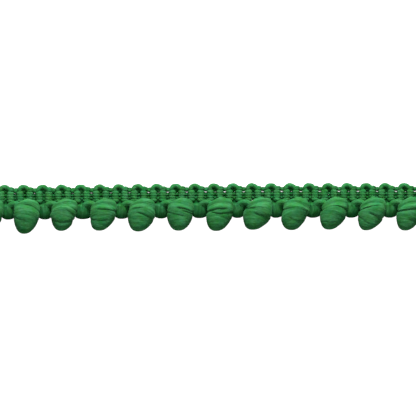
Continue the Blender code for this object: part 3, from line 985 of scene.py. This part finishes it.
# Its colour has a painted shade, darkest at the table and gone by the shaded height
pompom_roving = make_yarn_material("soft_roving", ROVING_GREENS, across=5.5, along=0.5,
                                   relief=0.8, shade=0.32, shaded_height=2.3 * MM)
for index in range(POM_COUNT):
    points, fibres = wound_surface(index)
    ball = make_skin(f"wound_ball_{index + 1:02d}", points, POM_SEGMENTS, fibres,
                     pompom_roving)
    ball = add_down(ball, pompom_roving, ends=1.8, length=1.1 * MM,
                    half_thickness=0.016 * MM, stand_off=0.16 * MM, seed=40 + index)
    finish_piece(ball, "pompom_yarn", f"pompom_{index + 1:02d}")


# Turns of roving between the pompoms
# The same roving leaves one pompom, folds back on itself in a short round pad below the
# heading, and arches over to the left shoulder of the next pompom, where its winding
# begins. The last one ends in a plain cut.

TURN_FOOT = -2.75 * MM
PAD_ROUND_END = 1.50 * MM
PAD_BULGE = 3.90 * MM
PAD_TOP_END = 0.95 * MM
PAD_HEIGHT = 5.10 * MM
PAD_HALF_THICKNESS = 1.26 * MM
PAD_UNDER_HEADING = 3.35 * MM
END_PAD_WIDTH = 3.30 * MM
PAD_ROUNDNESS = 0.45
PAD_FALL_LEFT = 0.35
PAD_FALL_RIGHT = 0.55
FOOT_LIFT = 0.25
PAD_RINGS = 44
PAD_SEGMENTS = 48
TUCKED_IN = 0.60 * MM
ARCH_RADIUS = 0.68 * MM
TURN_GREENS = ((0.005, 0.066, 0.014), (0.018, 0.142, 0.038), (0.046, 0.236, 0.082))

# The arch's path in millimetres, along from the middle of the room between two pompoms
ARCH = (
    PathPoint(-0.30, -0.30, 1.50, 0.80),
    PathPoint(-0.10, 0.30, 1.75, 0.98),
    PathPoint(0.38, 0.84, 1.92, 1.06),
    PathPoint(1.02, 1.16, 2.14, 1.08),
    PathPoint(1.75, 1.26, 2.50, 1.08),
    PathPoint(2.40, 1.14, 2.92, 1.04),
    PathPoint(3.00, 0.88, 3.24, 0.94),
    PathPoint(3.50, 0.56, 3.42, 0.76),
    PathPoint(3.92, 0.22, 3.46, 0.50),
)
CUT_AFTER = 6

# A pad's flat end under the heading, the relief of its folds and threads, and where their
# patterns lie
PAD_END_HALF_THICKNESS = 0.36 * MM
PAD_THINS_OVER = 0.9 * MM
PAD_OFF_TABLE = 0.04 * MM
PAD_LOWEST = 0.02 * MM
PAD_FIRST_RING = 0.002
PAD_RING_SPAN = 0.996
FOLD_WIDTH = 0.62 * MM
FOLD_DRIFT = 0.35
FOLD_RELIEF = 0.16
THREADS_EACH_FOLD = 3.2
THREAD_DRIFT = 0.5
THREAD_RELIEF = 0.04
PAD_LEAST_RADIUS = 0.3 * MM
FOLD_JUMP = 17
FIBRE_JUMP = 9
PAD_FIBRE_BEND = 1.6

# A flank is found in a few steps, between these shares of the pompom's height
FLANK_STEPS = 6
FIRST_SHARE = 0.01
LAST_SHARE = 0.98


def pom_flank(index, y, side):
    """Where the widest line of a pompom's flank lies at height y of the trim."""
    tip, root = pom_span(index)
    across = 0
    for _ in range(FLANK_STEPS):
        share = (y - tip) / (root - tip)
        share = (y - winding_slope(index, share) * across - tip) / (root - tip)
        x, half_width, _ = pom_section(index, min(max(share, FIRST_SHARE), LAST_SHARE))
        across = side * half_width
    return x + across


def pad_room(index, y):
    """Middle and half width of the pad that fits between two pompoms at height y."""
    left = pom_flank(index - 1, y, 1) - TUCKED_IN if index > 0 else None
    right = pom_flank(index, y, -1) + TUCKED_IN if index < POM_COUNT else None
    left = right - END_PAD_WIDTH if left is None else left
    right = left + END_PAD_WIDTH if right is None else right
    return (left + right) / 2, (right - left) / 2


def pad_surface(index):
    """Rings of points over a pad, and at each the place of the fibre that runs there."""
    middle, _ = pad_room(index, TURN_FOOT + PAD_ROUND_END)
    rise = sway(middle)
    points, fibres = [], []
    for i in range(PAD_RINGS):
        closer_at_ends = (1 - math.cos(math.pi * i / (PAD_RINGS - 1))) / 2
        run = PAD_HEIGHT * (PAD_FIRST_RING + PAD_RING_SPAN * closer_at_ends)
        y = TURN_FOOT + rise + run
        x, half_width = pad_room(index, y)
        foot = (1 - (1 - min(run / PAD_ROUND_END, 1)) ** 2) ** PAD_ROUNDNESS
        left_over = (PAD_HEIGHT - run) / PAD_TOP_END
        top = (1 - (1 - min(left_over, 1)) ** 2) ** PAD_ROUNDNESS
        half_width *= foot * top
        bulge = (1 - (1 - min(run / PAD_BULGE, 1)) ** 2) ** PAD_ROUNDNESS
        full = mix(PAD_HALF_THICKNESS, PAD_END_HALF_THICKNESS,
                   ease((run - PAD_UNDER_HEADING) / PAD_THINS_OVER))
        half_thickness = full * bulge * top
        middle_z = full * mix(FOOT_LIFT, 1, bulge) + PAD_OFF_TABLE
        for k in range(PAD_SEGMENTS):
            angle = math.tau * k / PAD_SEGMENTS
            across, up = half_width * math.cos(angle), half_thickness * math.sin(angle)
            fall = PAD_FALL_RIGHT if across > 0 else PAD_FALL_LEFT
            up *= 1 - fall * ease(abs(math.cos(angle)))
            radius = math.hypot(across, up)
            place = across / FOLD_WIDTH + FOLD_DRIFT * run / MM + FOLD_JUMP * index
            fold = noise.noise((place, FOLD_DRIFT * run / MM, math.sin(angle)))
            thread = noise.noise((THREADS_EACH_FOLD * place, THREAD_DRIFT * run / MM,
                                  2 * math.sin(angle)))
            relief = (FOLD_RELIEF * fold + THREAD_RELIEF * thread) * MM * foot * top
            grown = 1 + relief / max(radius, PAD_LEAST_RADIUS)
            z = middle_z + up * grown
            points.append((x + across * grown, y, max(z, PAD_LOWEST)))
            fibres.append((PAD_FIBRE_BEND * math.cos(angle), PAD_FIBRE_BEND * math.sin(angle),
                           run / MM + FIBRE_JUMP * index))
    return points, fibres


# Its colour has a painted shade, darkest at the table and gone by the shaded height
turn_roving = make_yarn_material("turned_roving", TURN_GREENS, across=5.5, along=0.5,
                                 relief=0.8, shade=0.14, shaded_height=2.9 * MM)
for index in range(POM_COUNT + 1):
    node = f"roving_turn_{index + 1:02d}"
    points, fibres = pad_surface(index)
    pad = make_skin(f"turned_pad_{index + 1:02d}", points, PAD_SEGMENTS, fibres,
                    turn_roving)
    pad = add_down(pad, turn_roving, ends=1.8, length=0.9 * MM,
                   half_thickness=0.016 * MM, stand_off=0.15 * MM, seed=60 + index)
    finish_piece(pad, "turn_yarn", node)

    middle, _ = pad_room(index, TURN_FOOT + PAD_ROUND_END)
    path = []
    for point in ARCH if index < POM_COUNT else ARCH[:CUT_AFTER]:
        y = point.height * MM + sway(middle)
        path.append((middle + point.along * MM, y, point.lift * MM, point.thick))
    arch = lay_yarn(f"roving_arch_{index + 1:02d}", path, ARCH_RADIUS, turn_roving,
                    step=0.10 * MM, sides=28, plies=5, depth=0.03, twist=0.15,
                    uneven=0.14 * MM)
    arch = add_down(arch, turn_roving, ends=1.8, length=0.9 * MM,
                    half_thickness=0.016 * MM, stand_off=0.15 * MM, seed=80 + index)
    finish_piece(arch, "turn_yarn", node)
